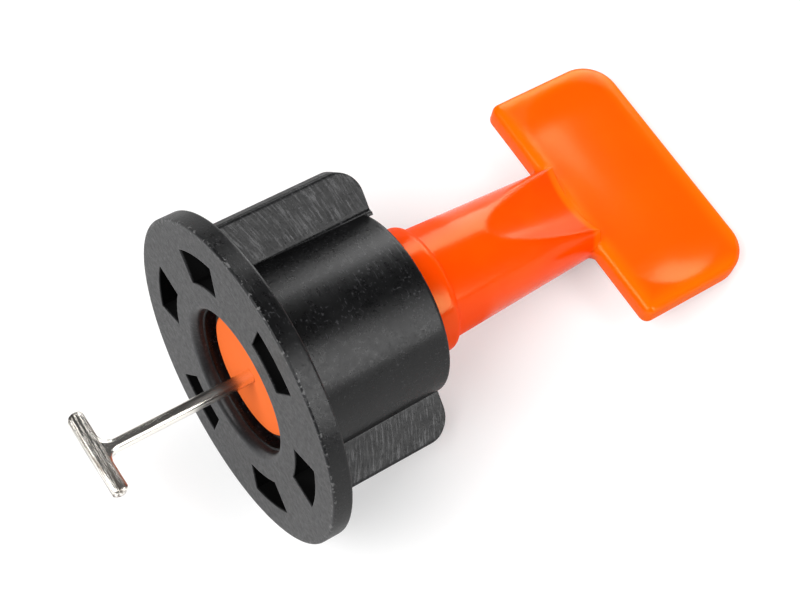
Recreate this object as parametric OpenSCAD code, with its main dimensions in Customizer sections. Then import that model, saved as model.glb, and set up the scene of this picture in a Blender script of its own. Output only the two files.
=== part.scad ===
// Reusable tile levelling clip: a winged base nut that screws along the threaded
// plug of a T-handle, and a steel T-pin that hooks under the tiles.
// Each piece is drawn on its own screw axis, with the tile face of the nut at z = 0,
// and the whole clip is then laid down on the flange rim and the edge of the grip.

/* [Base nut] */
// Diameter of the flange that presses on the tiles
flange_d = 40; // [36:0.5:50]
// Thickness of the flange
flange_t = 2.5; // [2:0.1:4]
// Rounding of the upper rim of the flange
flange_rim_r = 0.3; // [0.2:0.1:1.2]
// Rounding of the lower rim of the flange, at the tile face
flange_nose_r = 0.2; // [0.1:0.1:0.6]
// Outer diameter of the threaded housing, at its top
housing_d = 22.7; // [20:0.1:23.6]
// Growth of the housing radius from its top down to the flange
housing_draft = 0.3; // [0.1:0.05:0.4]
// Rounding of the top edge of the housing
housing_top_r = 0.4; // [0.2:0.1:0.8]
// Fillet between the housing and the flange
housing_root_r = 0.6; // [0.3:0.1:0.8]
// Height of the nut, from the tile face to the top of the housing
nut_h = 21.4; // [18:0.2:26]
// Diameter of the recess at the mouth of the bore
mouth_d = 17.7; // [17.6:0.1:19]
// Depth of that recess
mouth_depth = 1.35; // [0.8:0.05:1.8]
// Rounding of the lip round the mouth
mouth_lip_r = 0.9; // [0.2:0.1:1]
// Length of the wider part of the bore, behind the recess
entry_h = 1.5; // [0.5:0.1:2.5]
// Width of the bevels that lead into the bore
bore_lead = 0.5; // [0.2:0.1:0.6]

/* [Wings] */
// Width across both wings, tip to tip
wing_span = 34.4; // [30:0.2:36]
// Thickness of a wing
wing_t = 2.5; // [2:0.1:3.5]
// Height that the wings stand above the top of the housing
wing_rise = 0.7; // [0.2:0.1:1.5]
// Corner radius at the top of a wing
wing_corner_r = 3.5; // [2:0.1:5]
// Rounding of the two edges of a wing tip
wing_tip_r = 0.5; // [0.2:0.1:0.9]
// Fillet between a wing and the housing
wing_root_r = 0.5; // [0.3:0.1:1.5]
// Turn of the wings away from the long direction of the grip
wing_turn = 38; // [0:1:60]

/* [Windows] */
// Number of windows through the flange
window_count = 6; // [3:1:8]
// Inner diameter of the ring of windows
window_ring_d = 24.8; // [24.6:0.2:26]
// Width of a window across the ring
window_w = 4; // [2:0.1:4.5]
// Angle that a window takes up
window_arc = 26.5; // [15:0.5:32]
// Turn of the windows away from the wings
window_turn = 13; // [0:1:30]

/* [Handle] */
// Diameter of the collar above the thread
collar_d = 15.8; // [15.4:0.1:16.2]
// Free space round the collar inside the nut
collar_clear = 0.25; // [0.15:0.05:0.4]
// Diameter of the plug at the roots of its thread
thread_core_d = 15; // [14:0.1:15.2]
// Height of the plug end above the tile face, with the nut screwed right up
plug_end = 2.15; // [2:0.05:4]
// Bevel at the end of the plug
plug_bevel = 0.1; // [0.05:0.05:0.5]
// Depth that the collar reaches into the nut
collar_depth = 0.8; // [0.5:0.1:2]
// Height that the collar stands above the nut
collar_h = 4.2; // [3:0.1:8]
// Rounding of the top of the collar
collar_r = 0.9; // [0.3:0.1:0.9]
// Stem diameter at the collar
stem_low_d = 14; // [12:0.1:14]
// Stem diameter at the grip
stem_high_d = 12; // [10:0.1:13]
// Length of the stem between the collar and the grip
stem_l = 20.9; // [17:0.1:35]
// Length of stem that runs on over the face of the grip
stem_overrun = 0.7; // [0.5:0.1:2.5]

/* [Thumb scoops] */
// Radius of the hollow that thins the stem down to the grip, on both faces
scoop_r = 8.5; // [7:0.5:16]
// Distance from the collar to the start of the hollow
scoop_start = 7.6; // [4:0.1:10]

/* [Grip] */
// Width of the grip plate
grip_w = 33.2; // [26:0.2:40]
// Height of the grip plate along the axis
grip_h = 16.6; // [13:0.2:24]
// Thickness of the grip plate at its edges
grip_t = 3.1; // [2.6:0.1:4]
// Corner radius at the far end of the grip
grip_far_r = 4.4; // [2:0.1:6]
// Corner radius on the stem side of the grip
grip_near_r = 1.1; // [1:0.1:2]
// Rounding of all the edges of the grip
grip_edge_r = 0.8; // [0.2:0.1:0.9]
// Depth of the shallow dish in each face
dish_depth = 0.5; // [0.2:0.1:0.7]
// Rim left between the dish and the edge of the grip
dish_rim = 1.5; // [1:0.1:2]
// Distance over which the two ends of the dish curve up from its floor
dish_run = 5; // [3:0.5:7]
// Fillet between the stem and the grip
grip_root_r = 1.2; // [0.5:0.1:2]

/* [T-pin] */
// Width of the pin and of its shank
pin_w = 1.4; // [1:0.1:2]
// Thickness of the steel that the pin is stamped from
pin_t = 1.4; // [1:0.1:2]
// Rounding of the shank edges and of the inner edges of the bar
pin_edge_r = 0.35; // [0.2:0.05:0.45]
// Length of the hook bar
bar_l = 10.5; // [8:0.1:12]
// Height of the hook bar along the axis
bar_h = 1.8; // [1.2:0.05:2.5]
// Bulge of the two ends of the hook bar
bar_bulge = 0.4; // [0.1:0.05:0.5]
// Rounding of the outer edges of the hook bar
bar_edge_r = 0.15; // [0.05:0.05:0.3]
// Fillet between the bar and the shank
bar_root_r = 0.9; // [0.3:0.1:1.5]
// Clear height between the bar and the tile face, with the nut screwed right up
clamp_h = 16.1; // [14:0.1:24]
// Depth of the shank inside the plug
anchor_depth = 12; // [8:0.5:16]
// Width of the anchor at the end of the shank
anchor_w = 4; // [2.5:0.1:6]
// Height of the anchor along the axis
anchor_h = 1.5; // [1:0.1:2.5]

/* [Hidden] */
$fn = 96;

// Overshoot of cutting shapes
cut = 1;

bore_r = collar_d / 2 + collar_clear;
wing_top = nut_h + wing_rise;
collar_z = nut_h + collar_h;
grip_z = collar_z + stem_l;
grip_end_z = grip_z + grip_h;
grip_mid_z = grip_z + grip_h / 2;
bar_z = -clamp_h - bar_h;
anchor_z = plug_end + anchor_depth;

// Straight taper of the stem: its radius at height z
function stem_r(z) = (stem_low_d + (stem_high_d - stem_low_d) * (z - collar_z) / stem_l) / 2;

// The hollow starts on the crest of the stem and runs down to the face of the grip
scoop_z = collar_z + scoop_start;
stem_end_z = grip_z + stem_overrun;
scoop_drop = stem_r(scoop_z) - grip_t / 2;
scoop_slope = atan(scoop_drop / (stem_end_z - scoop_z));

// The dish is hollowed by a large drum that lies across the grip and has rounded ends
dish_half_w = grip_w / 2 - dish_rim;
dish_half_h = grip_h / 2 - dish_rim;
dish_drum_r = (dish_half_h * dish_half_h + dish_depth * dish_depth) / (2 * dish_depth);
dish_end_r = (dish_run * dish_run + dish_depth * dish_depth) / (2 * dish_depth);
dish_floor = dish_half_w - dish_run;

// Lying on a table, the clip touches it with the upper rim of the flange and the far
// edge of the grip: the two roundings give the tilt of the axis and the height.
rim_y = flange_d / 2 - flange_rim_r;
rim_z = flange_t - flange_rim_r;
edge_y = grip_t / 2 - grip_edge_r;
edge_z = grip_end_z - grip_edge_r;
contact_l = norm([edge_z - rim_z, rim_y - edge_y]);
lie_tilt = atan2(rim_y - edge_y, edge_z - rim_z) + asin((flange_rim_r - grip_edge_r) / contact_l);
lie_height = rim_y * cos(lie_tilt) + rim_z * sin(lie_tilt) + flange_rim_r;
low_x = bar_z * cos(lie_tilt) - pin_t / 2 * sin(lie_tilt);
high_x = edge_z * cos(lie_tilt) + edge_y * sin(lie_tilt) + grip_edge_r;

// Takes a piece from its own axis to where it lies, centred over the table
module lie_down() {
    translate([-(low_x + high_x) / 2, 0, lie_height])
        rotate([0, 90 + lie_tilt, 0])
            rotate([0, 0, -90])
                children();
}

// Half section of a block: outer corners rounded at the top and at the bottom
module block_section(r, low, high, top_r, low_r) {
    translate([0, low])
        square([r - low_r, high - low - top_r]);
    translate([0, low + low_r])
        square([r, high - low - top_r - low_r]);
    translate([0, low + low_r])
        square([r - top_r, high - low - low_r]);
    translate([r - top_r, high - top_r])
        circle(top_r);
    translate([r - low_r, low + low_r])
        circle(low_r);
}

// Fillet in the inner corner that opens towards +x and +y from the origin
module corner_fillet(r) {
    difference() {
        translate([-r, -r])
            square(2 * r);
        translate([r, r])
            circle(r);
        translate([r, -2 * r])
            square([r, 4 * r]);
        translate([-2 * r, r])
            square([4 * r, r]);
    }
}

// Cut of the bore: rounded lip, mouth recess, wider entry, bevel and the long clearance bore
module bore_section() {
    mouth_r = mouth_d / 2;
    entry_r = bore_r + bore_lead;
    entry_z = mouth_depth + entry_h;
    translate([0, -cut])
        square([mouth_r, mouth_depth + cut]);
    difference() {
        translate([0, -cut])
            square([mouth_r + mouth_lip_r, mouth_lip_r + cut]);
        translate([mouth_r + mouth_lip_r, mouth_lip_r])
            circle(mouth_lip_r);
    }
    polygon([
        [0, mouth_depth - cut / 2],
        [entry_r, mouth_depth - cut / 2],
        [entry_r, entry_z],
        [bore_r, entry_z + bore_lead],
        [bore_r, nut_h - bore_lead],
        [entry_r + cut, nut_h + cut],
        [0, nut_h + cut]
    ]);
}

// One window: a piece of a ring with straight radial ends
module window_outline() {
    inner_r = window_ring_d / 2;
    outer_r = inner_r + window_w;
    reach = outer_r / cos(window_arc / 2) + cut;
    intersection() {
        difference() {
            circle(outer_r);
            circle(inner_r);
        }
        polygon([
            [0, 0],
            [reach * cos(window_arc / 2), -reach * sin(window_arc / 2)],
            [reach * cos(window_arc / 2), reach * sin(window_arc / 2)]
        ]);
    }
}

// Plan of both wings, with rounded tips and filleted roots on the housing
module wing_plan() {
    housing_r = housing_d / 2;
    root_y = wing_t / 2 + wing_root_r;
    root_x = sqrt(pow(housing_r + wing_root_r, 2) - root_y * root_y);
    square([wing_span - 2 * wing_tip_r, wing_t], center = true);
    square([wing_span, wing_t - 2 * wing_tip_r], center = true);
    for (sx = [-1, 1], sy = [-1, 1]) {
        translate([sx * (wing_span / 2 - wing_tip_r), sy * (wing_t / 2 - wing_tip_r)])
            circle(wing_tip_r);
        difference() {
            polygon([[0, 0], [sx * root_x, sy * wing_t / 2], [sx * root_x, sy * root_y]]);
            translate([sx * root_x, sy * root_y])
                circle(wing_root_r);
        }
    }
}

// Side view of both wings, with their large top corners
module wing_side() {
    translate([-wing_span / 2, 0])
        square([wing_span, wing_top - wing_corner_r]);
    translate([-wing_span / 2 + wing_corner_r, 0])
        square([wing_span - 2 * wing_corner_r, wing_top]);
    for (side = [-1, 1])
        translate([side * (wing_span / 2 - wing_corner_r), wing_top - wing_corner_r])
            circle(wing_corner_r);
}

// The part of the wings above the housing stays clear of its open top
module wings() {
    difference() {
        intersection() {
            translate([0, 0, flange_t])
                linear_extrude(wing_top - flange_t)
                    wing_plan();
            rotate([90, 0, 0])
                linear_extrude(2 * housing_d, center = true)
                    wing_side();
        }
        translate([0, 0, nut_h])
            cylinder(r = housing_d / 2 - housing_top_r, h = wing_rise + cut);
    }
}

// Half section of the housing, with a slight draft and a rounded top edge
module housing_section() {
    top_r = housing_d / 2;
    low_r = top_r + housing_draft;
    round_z = nut_h - housing_top_r;
    polygon([[0, 0], [low_r, 0], [low_r, flange_t], [top_r, round_z], [0, round_z]]);
    square([top_r - housing_top_r, nut_h]);
    translate([top_r - housing_top_r, round_z])
        circle(housing_top_r);
    translate([low_r, flange_t])
        corner_fillet(housing_root_r);
}

module nut_body() {
    difference() {
        rotate_extrude() {
            block_section(flange_d / 2, 0, flange_t, flange_rim_r, flange_nose_r);
            housing_section();
        }
        for (i = [0 : window_count - 1])
            rotate([0, 0, window_turn + 360 * i / window_count])
                translate([0, 0, -cut])
                    linear_extrude(flange_t + cut + housing_root_r)
                        window_outline();
    }
}

module base_nut() {
    color("#2b2c2e")
        lie_down()
            rotate([0, 0, wing_turn])
                difference() {
                    union() {
                        nut_body();
                        wings();
                    }
                    rotate_extrude()
                        bore_section();
                }
}

// Plug at the roots of its thread, collar and tapered stem
module stem_body() {
    core_r = thread_core_d / 2;
    outer_r = collar_d / 2;
    rotate_extrude() {
        polygon([
            [0, plug_end],
            [core_r - plug_bevel, plug_end],
            [core_r, plug_end + plug_bevel],
            [core_r, nut_h],
            [0, nut_h]
        ]);
        translate([0, nut_h - collar_depth])
            square([outer_r, collar_depth + collar_h - collar_r]);
        translate([0, nut_h])
            square([outer_r - collar_r, collar_h]);
        translate([outer_r - collar_r, collar_z - collar_r])
            circle(collar_r);
        polygon([
            [0, collar_z - collar_r],
            [stem_r(collar_z - collar_r), collar_z - collar_r],
            [stem_r(stem_end_z), stem_end_z],
            [0, stem_end_z]
        ]);
    }
}

// Hollow that slopes from the crest of the stem down to the face of the grip
module scoop() {
    translate([0, -stem_r(scoop_z), scoop_z])
        rotate([-scoop_slope, 0, 0])
            translate([0, -scoop_r, -scoop_r])
                cylinder(r = scoop_r, h = 2 * stem_l + 2 * scoop_r);
}

// Round-edged bar of the grip, seen along its length
module grip_bar_section(length) {
    square([length - 2 * grip_edge_r, grip_t], center = true);
    square([length, grip_t - 2 * grip_edge_r], center = true);
    for (sx = [-1, 1], sy = [-1, 1])
        translate([sx * (length / 2 - grip_edge_r), sy * (grip_t / 2 - grip_edge_r)])
            circle(grip_edge_r);
}

// Round-edged disc that makes one corner of the grip
module grip_corner(r) {
    rotate([90, 0, 0])
        rotate_extrude()
            intersection() {
                grip_bar_section(2 * r);
                translate([0, -grip_t])
                    square([r + cut, 2 * grip_t]);
            }
}

// Round-edged slab across the grip, between two heights
module grip_slab(width, low, high) {
    translate([0, 0, (low + high) / 2])
        rotate([0, 90, 0])
            linear_extrude(width, center = true)
                grip_bar_section(high - low);
}

// Outer layer of the drum, as a section: straight in the middle and curved in at both ends
module drum_section() {
    layer = 2 * dish_depth;
    intersection() {
        translate([dish_drum_r - layer, -dish_half_w])
            square([layer, 2 * dish_half_w]);
        union() {
            translate([dish_drum_r - layer, -dish_floor])
                square([layer, 2 * dish_floor]);
            for (side = [-1, 1])
                translate([dish_drum_r - dish_end_r, side * dish_floor])
                    circle(dish_end_r, $fn = 360);
        }
    }
}

// Shallow dish that hollows one face of the grip
module dish() {
    translate([0, -grip_t / 2 + dish_depth - dish_drum_r, grip_mid_z])
        rotate([0, 90, 0])
            rotate_extrude()
                drum_section();
}

module grip() {
    difference() {
        union() {
            grip_slab(grip_w - 2 * grip_far_r, grip_z, grip_end_z);
            grip_slab(grip_w - 2 * grip_near_r, grip_z, grip_end_z - grip_far_r);
            translate([0, 0, grip_z + grip_near_r])
                linear_extrude(grip_h - grip_near_r - grip_far_r)
                    grip_bar_section(grip_w);
            for (side = [-1, 1]) {
                translate([side * (grip_w / 2 - grip_far_r), 0, grip_end_z - grip_far_r])
                    grip_corner(grip_far_r);
                translate([side * (grip_w / 2 - grip_near_r), 0, grip_z + grip_near_r])
                    grip_corner(grip_near_r);
            }
        }
        dish();
        mirror([0, 1, 0])
            dish();
    }
}

// Small webs that round the inner corners between the stem and the grip
module grip_roots() {
    for (side = [0, 1])
        mirror([side, 0, 0])
            translate([stem_r(grip_z), 0, grip_z])
                mirror([0, 0, 1])
                    rotate([90, 0, 0])
                        linear_extrude(grip_t - 2 * grip_edge_r, center = true)
                            corner_fillet(grip_root_r);
}

// Outline of the hook bar, with its two bulging ends
module bar_outline() {
    end_r = (bar_h * bar_h / 4 + bar_bulge * bar_bulge) / (2 * bar_bulge);
    translate([0, bar_z + bar_h / 2])
        intersection() {
            square([bar_l, bar_h], center = true);
            union() {
                square([bar_l - 2 * bar_bulge, bar_h], center = true);
                for (side = [-1, 1])
                    translate([side * (bar_l / 2 - end_r), 0])
                        circle(end_r);
            }
        }
}

// Webs between the bar and the shank, and the anchor that holds the pin in the plug
module pin_flats() {
    for (side = [0, 1])
        mirror([side, 0])
            translate([pin_w / 2, bar_z + bar_h])
                corner_fillet(bar_root_r);
    translate([-anchor_w / 2, anchor_z - anchor_h])
        square([anchor_w, anchor_h]);
}

// Pressed steel pin: the bar and the shank have rounded edges, the webs and the anchor are flat
module pin_solid() {
    intersection() {
        rotate([90, 0, 0])
            linear_extrude(pin_t + cut, center = true)
                bar_outline();
        rotate([90, 0, 90])
            linear_extrude(bar_l + cut, center = true)
                for (side = [0, 1])
                    mirror([side, 0])
                        block_section(pin_t / 2, bar_z, bar_z + bar_h, pin_edge_r, bar_edge_r);
    }
    rotate([90, 0, 0])
        linear_extrude(pin_t, center = true)
            pin_flats();
    translate([0, 0, bar_z + bar_h / 2])
        linear_extrude(anchor_z - bar_z - bar_h / 2)
            for (side = [0, 1])
                mirror([side, 0])
                    block_section(pin_w / 2, -pin_t / 2, pin_t / 2, pin_edge_r, pin_edge_r);
}

module handle() {
    color("#ff6a0a")
        lie_down()
            difference() {
                union() {
                    difference() {
                        stem_body();
                        scoop();
                        mirror([0, 1, 0])
                            scoop();
                    }
                    grip();
                    grip_roots();
                }
                pin_solid();
            }
}

module t_pin() {
    color("#b9b4ab")
        lie_down()
            pin_solid();
}

base_nut();
handle();
t_pin();
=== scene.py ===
import math
import bpy
from mathutils import Matrix, Vector


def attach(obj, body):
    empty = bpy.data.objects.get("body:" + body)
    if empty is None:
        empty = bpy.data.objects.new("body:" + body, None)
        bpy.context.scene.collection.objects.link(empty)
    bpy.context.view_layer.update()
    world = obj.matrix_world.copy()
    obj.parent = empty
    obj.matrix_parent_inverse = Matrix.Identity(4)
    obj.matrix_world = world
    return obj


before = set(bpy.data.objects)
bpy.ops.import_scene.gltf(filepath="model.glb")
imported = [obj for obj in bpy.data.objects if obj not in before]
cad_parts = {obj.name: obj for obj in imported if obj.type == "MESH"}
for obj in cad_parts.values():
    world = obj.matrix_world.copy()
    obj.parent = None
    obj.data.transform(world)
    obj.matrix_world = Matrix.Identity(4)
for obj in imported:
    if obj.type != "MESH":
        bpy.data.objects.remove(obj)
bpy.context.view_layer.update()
bpy.ops.object.select_all(action="DESELECT")
print("frame loaded:", ", ".join(sorted(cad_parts)))

mm = 0.001
white, black = (1, 1, 1, 1), (0, 0, 0, 1)

# how the clip lies: its screw axis runs from the middle of the tile face to the grip
lying = dict(tilt=17.045858, face=(-21.632092, 0.0, 19.779489))
tiltSin, tiltCos = math.sin(math.radians(lying["tilt"])), math.cos(math.radians(lying["tilt"]))
layDown = Matrix(((0, -tiltSin, tiltCos), (-1, 0, 0), (0, -tiltCos, -tiltSin)))
faceCentre = Vector(lying["face"]) * mm


class Sock:
    # one output socket that takes part in plain arithmetic
    def __init__(self, tree, socket):
        self.tree, self.socket = tree, socket

    def math(self, operation, *values):
        made = self.tree.nodes.new("ShaderNodeMath")
        made.operation = operation
        for slot, value in zip(made.inputs, values):
            plug(self.tree, slot, value)
        return Sock(self.tree, made.outputs[0])

    def __add__(self, other): return self.math("ADD", self, other)
    def __radd__(self, other): return self.math("ADD", other, self)
    def __sub__(self, other): return self.math("SUBTRACT", self, other)
    def __rsub__(self, other): return self.math("SUBTRACT", other, self)
    def __mul__(self, other): return self.math("MULTIPLY", self, other)
    def __rmul__(self, other): return self.math("MULTIPLY", other, self)
    def __pow__(self, other): return self.math("POWER", self, other)
    def __rpow__(self, other): return self.math("POWER", other, self)
    def __abs__(self): return self.math("ABSOLUTE", self)
    def least(self, other): return self.math("MINIMUM", self, other)
    def most(self, other): return self.math("MAXIMUM", self, other)


def plug(tree, slot, value):
    if isinstance(value, Sock):
        tree.links.new(value.socket, slot)
    else:
        slot.default_value = value


class Finish:
    # a material under construction: node() adds any node, the rest are short cuts
    def __init__(self, name):
        self.material = bpy.data.materials.new(name)
        self.material.use_nodes = True
        self.tree = self.material.node_tree
        self.tree.nodes.clear()

    def node(self, kind, settings=None, out=0, **inputs):
        # inputs go by name, or by number as i0, i1 where one name comes twice
        made = self.tree.nodes.new("ShaderNode" + kind)
        for key, value in (settings or {}).items():
            setattr(made, key, value)
        for key, value in inputs.items():
            numbered = key[0] == "i" and key[1:].isdigit()
            slot = made.inputs[int(key[1:]) if numbered else key.replace("_", " ")]
            plug(self.tree, slot, value)
        return Sock(self.tree, made.outputs[out]) if made.outputs else None

    def onAxis(self):
        # millimetres in the clip's own frame: z along the screw, from the tile face
        spot = self.node("TexCoord", out="Object")
        return self.node("Mapping", dict(vector_type="TEXTURE"), Vector=spot, Location=faceCentre,
                         Rotation=layDown.to_euler(), Scale=(mm, mm, mm))

    def stretched(self, place, scale, shift=(0, 0, 0), turn=(0, 0, 0)):
        return self.node("Mapping", dict(vector_type="POINT"), Vector=place, Location=shift,
                         Rotation=turn, Scale=scale)

    def parts(self, vector):
        split = self.node("SeparateXYZ", Vector=vector)
        return [Sock(self.tree, out) for out in split.socket.node.outputs]

    def noise(self, place, scale, detail=2.0, rough=0.5, warp=0.0):
        return self.node("TexNoise", Vector=place, Scale=scale, Detail=detail, Roughness=rough,
                         Distortion=warp)

    def ramp(self, value, low, high, toLow=0.0, toHigh=1.0):
        return self.node("MapRange", dict(interpolation_type="SMOOTHSTEP"), Value=value, From_Min=low,
                         From_Max=high, To_Min=toLow, To_Max=toHigh)

    def mixColour(self, share, first, second):
        return self.node("Mix", dict(data_type="RGBA"), out=2, i0=share, i6=first, i7=second)

    def soft(self, radius, samples):
        # edges rounded in the shading
        return self.node("Bevel", dict(samples=samples), Radius=radius * mm)

    def bump(self, height, deep, strength, normal):
        return self.node("Bump", Height=height, Distance=deep * mm, Strength=strength, Normal=normal)

    def slant(self, low, high):
        # grows to 1 as the surface turns edge on
        return self.ramp(self.node("LayerWeight", out="Facing", Blend=0.5), low, high)

    def surface(self, share=None, under=None, **inputs):
        # share of the dull shader under, where one is given
        shader = self.node("BsdfPrincipled", **inputs)
        if under:
            shader = self.node("MixShader", i0=share, i1=shader, i2=under)
        return self.done(shader)

    def done(self, shader):
        self.node("OutputMaterial", Surface=shader)
        return self.material


def put(piece, material):
    piece.data.materials.clear()
    piece.data.materials.append(material)


# black moulded nut: satin and mottled, with scratches, pale specks, a marked rim and sanded wings, painted
# shade in the windows and a painted sheen on the face
nutLook = dict(
    colour=(0.003, 0.0031, 0.0034, 1), rubbed=(0.06, 0.06, 0.064, 1), worn=(0.3, 0.3, 0.3, 1),
    hollow=(0.004, 0.004, 0.004, 1), gloss=0.21, shine=0.27, edge=0.2, dents=0.03, slant=(0.2, 0.7),
    # noise cells for each mm, and where each pattern starts and is full
    grain=3.4, cloud=0.3, mottle=1.5, patch=0.22, speck=3.2, mark=2.2, scratch=1.6,
    cloudCut=(0.45, 0.8), patchCut=(0.42, 0.6), speckCut=(0.64, 0.74), markCut=(0.54, 0.66),
    scratchCut=(0.66, 0.72), scratchThin=(0.14, 3.2, 3.2),
    scratchSets=((0.6, 3.0), (-0.5, 11.0), (1.25, 27.0)),  # turn and seed
    hairFrom=14.0, hairThin=(5.2, 0.6, 0.16), hairCut=(0.48, 0.68),
    # edges of the zones in mm, each from none to full
    face=(0.25, 0.0), rimOut=(19.45, 19.55), rimUp=(0.42, 0.32), wingOut=(11.6, 12.4), wingUp=(3.0, 4.0),
    windowIn=(12.25, 12.4), windowOut=(16.55, 16.4), windowFront=(0.05, 0.3), windowBack=(2.45, 2.2),
    mouthIn=(8.68, 8.85), mouthOut=(10.2, 9.8), mouthBack=(3.0, 2.6),
    # how much each pattern rubs the colour pale, and how much it dulls the gloss; on the face the paleness
    # is partly real mottled wear and partly painted sheen
    rub=dict(cloud=0.05, scratch=0.5, hair=0.4, speck=0.6, mark=0.36, mouth=0.5,
             face=0.05, faceGrainAndSheen=0.2, faceCloudAndSheen=0.3),
    dull=dict(cloud=0.12, grain=0.06, mottle=0.25, face=0.1, faceMottle=0.25, wing=0.08, hair=0.13,
              mouth=0.06))


def blackPlastic():
    look, rub, dull = nutLook, nutLook["rub"], nutLook["dull"]
    f = Finish("blackPlastic")
    place = f.onAxis()
    x, y, z = f.parts(place)
    radius = (x * x + y * y) ** 0.5
    onFace = f.ramp(z, *look["face"])
    onRim = f.ramp(radius, *look["rimOut"]) * f.ramp(z, *look["rimUp"])
    onWing = f.ramp(radius, *look["wingOut"]) * f.ramp(z, *look["wingUp"])
    # walls of the windows, where hardly any light gets in: painted shade, a dull near-black shader laid
    # over them
    inWindow = (f.ramp(radius, *look["windowIn"]) * f.ramp(radius, *look["windowOut"])
                * f.ramp(z, *look["windowFront"]) * f.ramp(z, *look["windowBack"]))
    # the stepped lips of the mouth are dull and rubbed
    inMouth = (f.ramp(radius, *look["mouthIn"]) * f.ramp(radius, *look["mouthOut"])
               * f.ramp(z, *look["mouthBack"]))
    grain = f.noise(place, look["grain"], 4.0, 0.65)
    cloud = f.noise(place, look["cloud"], 3.0, 0.55)
    mottle = f.noise(place, look["mottle"], 4.0, 0.7)
    scratches = None
    for turn, seed in look["scratchSets"]:
        lean = f.stretched(place, look["scratchThin"], (seed, seed, seed), (turn, turn * 0.7, turn * 1.3))
        line = f.ramp(f.noise(lean, look["scratch"], 2.0, 0.55, 0.25), *look["scratchCut"])
        scratches = line if scratches is None else scratches.most(line)
    # sanding hairlines across the wings, in arcs round a point on the screw axis beyond the face
    beyond = z + look["hairFrom"]
    across = (x * x + beyond * beyond) ** 0.5
    thinAcross, thinDeep, thinAlong = look["hairThin"]
    arcs = f.node("CombineXYZ", X=across * thinAcross, Y=y * thinDeep, Z=x * thinAlong)
    hairs = f.ramp(f.noise(arcs, 1.0, 2.0, 0.6), *look["hairCut"])
    patches = f.ramp(f.noise(place, look["patch"]), *look["patchCut"])
    specks = f.ramp(f.noise(place, look["speck"], 1.0), *look["speckCut"]) * (0.35 + patches * 0.65)
    marks = onRim * f.ramp(f.noise(place, look["mark"]), *look["markCut"])
    # paleness from wear; on the face it is partly real mottled wear and partly a painted sheen over the
    # whole face
    wearAndSheen = (f.ramp(cloud, *look["cloudCut"]) * rub["cloud"] + scratches * patches * rub["scratch"]
            + hairs * onWing * rub["hair"] + specks * rub["speck"] + inMouth * grain * rub["mouth"]
            + onFace * (rub["face"] + grain * rub["faceGrainAndSheen"] + cloud * rub["faceCloudAndSheen"]))
    tone = f.mixColour(wearAndSheen, look["colour"], look["rubbed"])
    tone = f.mixColour(marks * rub["mark"], tone, look["worn"])
    rough = (look["gloss"] + cloud * dull["cloud"] + grain * dull["grain"] + onFace * dull["face"]
             + (mottle - 0.5) * (dull["mottle"] + onFace * dull["faceMottle"])
             + onWing * (dull["wing"] - hairs * dull["hair"]) + inMouth * dull["mouth"])
    # seen at a slant it is duller than clear plastic, least on the face and not on the mouth's lips
    slant = f.slant(*look["slant"]) * (0.5 - onFace * 0.42) * (1.0 - inMouth)
    # dull near-black shader: at a slant it takes part of the gloss off, and in the windows it is painted
    # shade
    hollow = f.node("BsdfDiffuse", Color=look["hollow"])
    dented = f.bump(grain * 0.5 + scratches * 0.4, look["dents"], 0.5, f.soft(look["edge"], 6))
    return f.surface(inWindow.most(slant), hollow, Base_Color=tone, Roughness=rough, Normal=dented,
                     Specular_IOR_Level=look["shine"])


# orange moulded handle: glossy, with the slight waviness of a thick moulding, a painted glow in the grip
# and a painted reflection on the end of the plug
handleLook = dict(
    colour=(1.0, 0.064, 0.0002, 1), pale=(1.0, 0.088, 0.0004, 1), gripGlowTone=(1.0, 0.16, 0.001, 1),
    endReflectTone=(1.0, 0.19, 0.042, 1), gloss=0.12, shine=0.27, warm=(1.0, 1.0, 0.38, 1), mattRough=0.9,
    glowShare=0.08, glowReach=(1.0, 0.35, 0.1), grain=1.4, cloud=0.16, paleCut=(0.35, 0.75), waves=0.02,
    edge=0.4, hollowEdge=1.4, slant=(0.15, 0.6),
    # half width, foot and top of the grip, then edges of the zones in mm, each from none to full
    grip=(16.6, 46.5, 63.1), gripFoot=(45.8, 46.6), gripRim=(2.6, 0.3), dish=(0.6, 1.2),
    plugEnd=(2.35, 2.25), hollowFoot=(29.0, 31.5), hollowTop=(47.0, 46.0))


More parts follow.
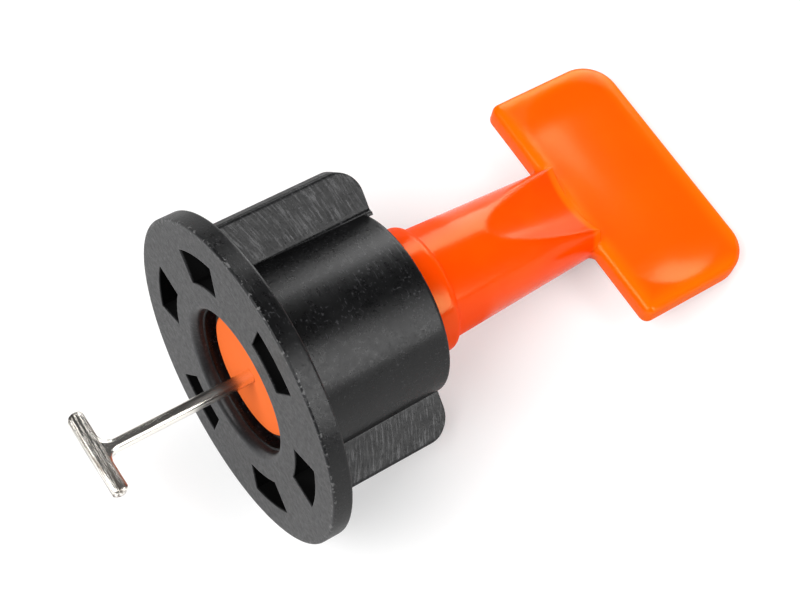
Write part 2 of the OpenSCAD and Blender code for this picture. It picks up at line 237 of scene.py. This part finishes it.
def orangePlastic():
    look = handleLook
    f = Finish("orangePlastic")
    place = f.onAxis()
    x, _, z = f.parts(place)
    grain = f.noise(place, look["grain"], 3.0, 0.55)
    cloud = f.noise(place, look["cloud"])
    tone = f.mixColour(f.ramp(cloud, *look["paleCut"]) * 0.4, look["colour"], look["pale"])
    # painted glow: light comes through the slim grip, so it is painted yellower, most of all along its rim
    wide, low, high = look["grip"]
    inward = (wide - abs(x)).least(z - low).least(high - z)
    onGrip = f.ramp(z, *look["gripFoot"])
    tone = f.mixColour(onGrip * (0.25 + f.ramp(inward, *look["gripRim"]) * 0.5), tone, look["gripGlowTone"])
    # the end of the plug is dull, and painted paler and pinker as a painted reflection of the pale table
    onEnd = f.ramp(z, *look["plugEnd"])
    tone = f.mixColour(onEnd, tone, look["endReflectTone"])
    rough = look["gloss"] + grain * 0.08 + onEnd * 0.3
    # the lips of the hollow in the stem and of the dishes are rounder than the other edges
    onHollow = f.ramp(z, *look["hollowFoot"]) * f.ramp(z, *look["hollowTop"])
    lips = onHollow.most(f.ramp(inward, *look["dish"]))
    soft = f.node("Mix", dict(data_type="VECTOR"), out=1, i0=lips, i4=f.soft(look["edge"], 6),
                  i5=f.soft(look["hollowEdge"], 10))
    # seen at a slant it mirrors the table less than clear plastic would
    slant = f.slant(*look["slant"]) * (0.8 - onHollow * 0.6)
    matt = f.node("BsdfPrincipled", Base_Color=tone, Roughness=look["mattRough"], Normal=soft,
                  Specular_IOR_Level=0.0)
    wavy = f.bump(grain + cloud * 3.0, look["waves"], 0.4, soft)
    return f.surface(slant, matt, Base_Color=tone, Roughness=rough, Normal=wavy,
                     Specular_IOR_Level=look["shine"], Specular_Tint=look["warm"],
                     Subsurface_Weight=look["glowShare"], Subsurface_Radius=look["glowReach"],
                     Subsurface_Scale=mm)


# plated steel pin: bright, with long rolling lines on the bar, thickest along its outer edge
pinLook = dict(colour=(0.95, 0.91, 0.85, 1), dull=(0.16, 0.13, 0.1, 1), gloss=0.18, edge=0.8, grooves=0.03,
               bar=(-15.6, -16.4), outer=(-16.6, -17.6),
               rolled=(0.1, 1.0, 2.8), rolledCut=(0.44, 0.6), drawn=(5.0, 5.0, 0.3))


def plateSteel():
    look = pinLook
    f = Finish("plateSteel")
    place = f.onAxis()
    z = f.parts(place)[2]
    rolled = f.noise(f.stretched(place, look["rolled"]), 1.3, 3.0, 0.6)
    lines = f.ramp(rolled, *look["rolledCut"]) * f.ramp(z, *look["bar"])
    outer = f.ramp(z, *look["outer"])
    fine = f.noise(f.stretched(place, look["drawn"]), 1.2)
    tone = f.mixColour(lines * (0.6 + outer * 0.4), look["colour"], look["dull"])
    rough = look["gloss"] + lines * 0.12 + fine * 0.06
    grooved = f.bump(lines + fine * 0.15, look["grooves"], 0.6, f.soft(look["edge"], 16))
    return f.surface(Base_Color=tone, Metallic=1.0, Roughness=rough, Normal=grooved)


blackFinish, orangeFinish, steelFinish = blackPlastic(), orangePlastic(), plateSteel()
put(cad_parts["base_nut"], blackFinish)
put(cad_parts["handle"], orangeFinish)
put(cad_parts["t_pin"], steelFinish)
print("finishes on")

# coarse thread between the plug and the nut; mm, with the rib's widths along the axis
plugThread = dict(name="plugThread", low=7.42, lowWide=1.8, high=8.0, highWide=0.7, start=3.4, turns=5)
nutThread = dict(name="nutThread", low=7.65, lowWide=0.7, high=8.2, highWide=1.8, start=4.9, turns=5)
threadCut = dict(lead=3.0, steps=72, weld=0.01, close=0.005, smooth=25)
onTable = Matrix.Translation(faceCentre) @ layDown.to_4x4()


def makeThread(look, body, finish):
    middle = (look["high"] + look["low"]) / 2 * mm
    bpy.ops.object.select_all(action="DESELECT")
    bpy.ops.mesh.primitive_plane_add(size=mm)
    rib = bpy.context.object
    rib.name = look["name"]
    # stand the square up beside the axis, then splay its two upright sides into a rib section
    bpy.ops.object.mode_set(mode="EDIT")
    bpy.ops.mesh.select_mode(type="VERT")
    bpy.ops.transform.rotate(value=math.pi / 2, orient_axis="X", center_override=(0, 0, 0))
    bpy.ops.transform.resize(value=(look["high"] - look["low"], 1, 1), center_override=(0, 0, 0))
    bpy.ops.transform.translate(value=(middle, 0, 0))
    for side, wide in ((-1, look["lowWide"]), (1, look["highWide"])):
        bpy.ops.object.mode_set(mode="OBJECT")
        for corner in rib.data.vertices:
            corner.select = (corner.co.x - middle) * side > 0
        bpy.ops.object.mode_set(mode="EDIT")
        bpy.ops.transform.resize(value=(1, 1, wide), center_override=(0, 0, 0))
    bpy.ops.mesh.select_all(action="SELECT")
    bpy.ops.transform.translate(value=(0, 0, look["start"] * mm))
    bpy.ops.mesh.delete(type="ONLY_FACE")
    bpy.ops.object.mode_set(mode="OBJECT")
    # wind the section up the axis and close its two ends
    winding = rib.modifiers.new("winding", "SCREW")
    winding.axis, winding.angle, winding.screw_offset = "Z", math.tau, threadCut["lead"] * mm
    winding.iterations = look["turns"]
    winding.steps = winding.render_steps = threadCut["steps"]
    winding.use_merge_vertices, winding.merge_threshold = True, threadCut["weld"] * mm
    bpy.ops.object.modifier_apply(modifier=winding.name)
    bpy.ops.object.mode_set(mode="EDIT")
    bpy.ops.mesh.select_all(action="SELECT")
    bpy.ops.mesh.remove_doubles(threshold=threadCut["close"] * mm)
    bpy.ops.mesh.fill_holes(sides=4)
    bpy.ops.mesh.select_all(action="SELECT")
    bpy.ops.mesh.normals_make_consistent(inside=False)
    bpy.ops.object.mode_set(mode="OBJECT")
    rib.matrix_world = onTable
    bpy.ops.object.transform_apply(location=True, rotation=True, scale=True)
    bpy.ops.object.shade_smooth_by_angle(angle=math.radians(threadCut["smooth"]))
    put(rib, finish)
    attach(rib, body)
    print(rib.name, len(rib.data.polygons), "faces")


makeThread(plugThread, "handle", orangeFinish)
makeThread(nutThread, "nut", blackFinish)

# pale table that stays white behind the clip and keeps its shadow; further out it is all white
tableLook = dict(size=2.0, colour=(0.64, 0.64, 0.64, 1), lift=0.38, fade=(0.12, 0.5))


def makeTable():
    bpy.ops.mesh.primitive_plane_add(size=tableLook["size"])
    table = bpy.context.object
    table.name = "table"
    f = Finish("tableTop")
    seen = f.node("LightPath", out="Is Camera Ray")
    for ray in ("Is Glossy Ray", "Is Transmission Ray"):
        seen = seen.most(f.node("LightPath", out=ray))
    x, y, _ = f.parts(f.node("TexCoord", out="Object"))
    lift = f.ramp((x * x + y * y) ** 0.5, *tableLook["fade"], tableLook["lift"], 1.0)
    shade = f.node("BsdfDiffuse", Color=tableLook["colour"])
    glow = f.node("Emission", Color=f.mixColour(seen * lift, black, white), Strength=1.0)
    put(table, f.done(f.node("AddShader", i0=shade, i1=glow)))


makeTable()

# studio: a dim room, two tall soft boxes that show in the mouldings and a large one above the hook end
roomLook = dict(level=0.055, middle=(0, 0, 18.0))
boxes = [
    dict(name="boxFar", turn=42.8, rise=11.0, away=0.373, wide=0.215, tall=0.315, roll=10.2, glow=7.2),
    dict(name="boxNear", turn=-56.5, rise=31.5, away=0.39, wide=0.1, tall=0.38, roll=-17.4, glow=7.8),
    dict(name="boxOver", turn=180, rise=60, away=0.5, wide=0.4, tall=0.4, roll=0, glow=5.8),
]


def standing(name, data, place, direction, roll):
    # a lamp or camera that looks along a direction, rolled by some degrees
    holder = bpy.data.objects.new(name, data)
    bpy.context.scene.collection.objects.link(holder)
    aim = direction.to_track_quat("-Z", "Y").to_matrix() @ Matrix.Rotation(math.radians(roll), 3, "Z")
    holder.location, holder.rotation_euler = place, aim.to_euler()
    return holder


def lightRoom():
    world = bpy.data.worlds.new("room")
    bpy.context.scene.world = world
    world.use_nodes = True
    back = world.node_tree.nodes["Background"]
    back.inputs["Color"].default_value = white
    back.inputs["Strength"].default_value = roomLook["level"]
    for box in boxes:
        turn, rise = math.radians(box["turn"]), math.radians(box["rise"])
        out = Vector((math.cos(turn) * math.cos(rise), math.sin(turn) * math.cos(rise), math.sin(rise)))
        lamp = bpy.data.lights.new(box["name"], "AREA")
        lamp.shape, lamp.size, lamp.size_y = "RECTANGLE", box["wide"], box["tall"]
        lamp.energy = box["glow"] * math.pi * box["wide"] * box["tall"]
        place = Vector(roomLook["middle"]) * mm + out * box["away"]
        standing(box["name"], lamp, place, -out, box["roll"])
    bpy.context.scene.view_settings.view_transform = "Standard"


lightRoom()

# where the photograph was taken from, in mm
cameraLook = dict(at=(-23.847, -70.33, 211.765), towards=(2.969, -6.012, 18.0), roll=-11.973,
                  lens=82.575, sensor=36.0, shift=(-0.0625, 0.0125), clip=(0.005, 20.0))


def setCamera():
    lens = bpy.data.cameras.new("photoCamera")
    lens.lens, lens.sensor_width = cameraLook["lens"], cameraLook["sensor"]
    lens.shift_x, lens.shift_y = cameraLook["shift"]
    lens.clip_start, lens.clip_end = cameraLook["clip"]
    place, target = Vector(cameraLook["at"]) * mm, Vector(cameraLook["towards"]) * mm
    camera = standing("photoCamera", lens, place, target - place, cameraLook["roll"])
    bpy.context.scene.camera = camera


setCamera()
print("table, lamps and camera set")
